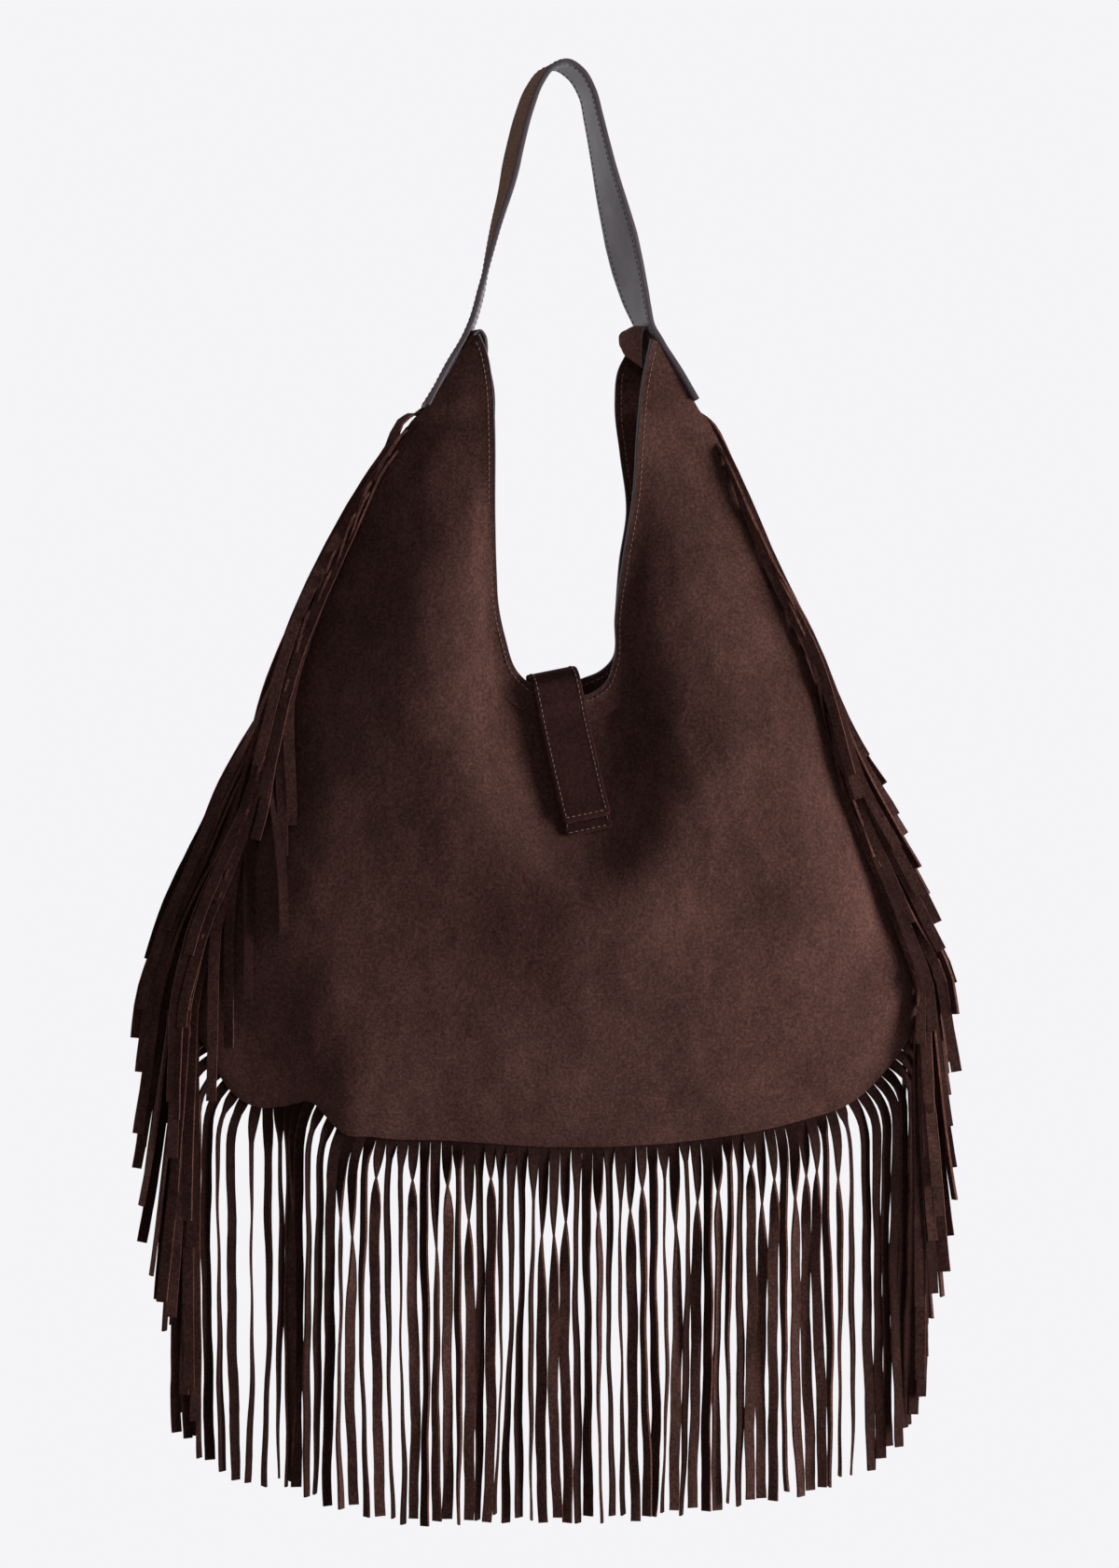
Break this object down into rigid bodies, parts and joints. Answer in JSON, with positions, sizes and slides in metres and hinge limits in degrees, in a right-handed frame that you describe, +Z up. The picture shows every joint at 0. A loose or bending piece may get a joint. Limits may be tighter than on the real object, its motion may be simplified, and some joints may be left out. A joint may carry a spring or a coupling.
{
  "type": "fringed suede bag",
  "caption": "Soft suede shoulder bag with a deep U mouth, one short strap, a snap closure tab and long fringe sewn into its side and bottom seam.",
  "frame": {"origin": "underside of the strap at the top of its loop, where the bag hangs", "axes": "+Z up, -Y the front with the closure tab, +X to the right seen from the front"},
  "size_m": [0.4785, 0.075, 0.847],
  "materials": {
    "suede": "brown suede nap",
    "lining_leather": "smooth dark leather, semi-gloss",
    "snap_steel": "satin"
  },
  "bodies": {
    "bag": {"front_panel": "suede", "back_panel": "suede", "front_mouth_facing": "suede", "back_mouth_facing": "suede", "strap": "suede", "strap_lining": "lining_leather", "tip_fold_left": "suede", "tip_fold_right": "suede", "fringe_left": "suede", "fringe_bottom": "suede", "fringe_right": "suede", "front_tab": "suede", "snap_socket": "snap_steel", "closure_tab_root": "suede"},
    "closure": {"closure_tab": "suede", "snap_stud": "snap_steel"}
  },
  "joints": [
    {"name": "closure_lift", "type": "hinge", "parent": "bag", "child": "closure", "pos_m": [-0.005, 0.0077, -0.3496], "axis": [-0.9799, 0, -0.1994], "range_deg": [0, 150]}
  ]
}
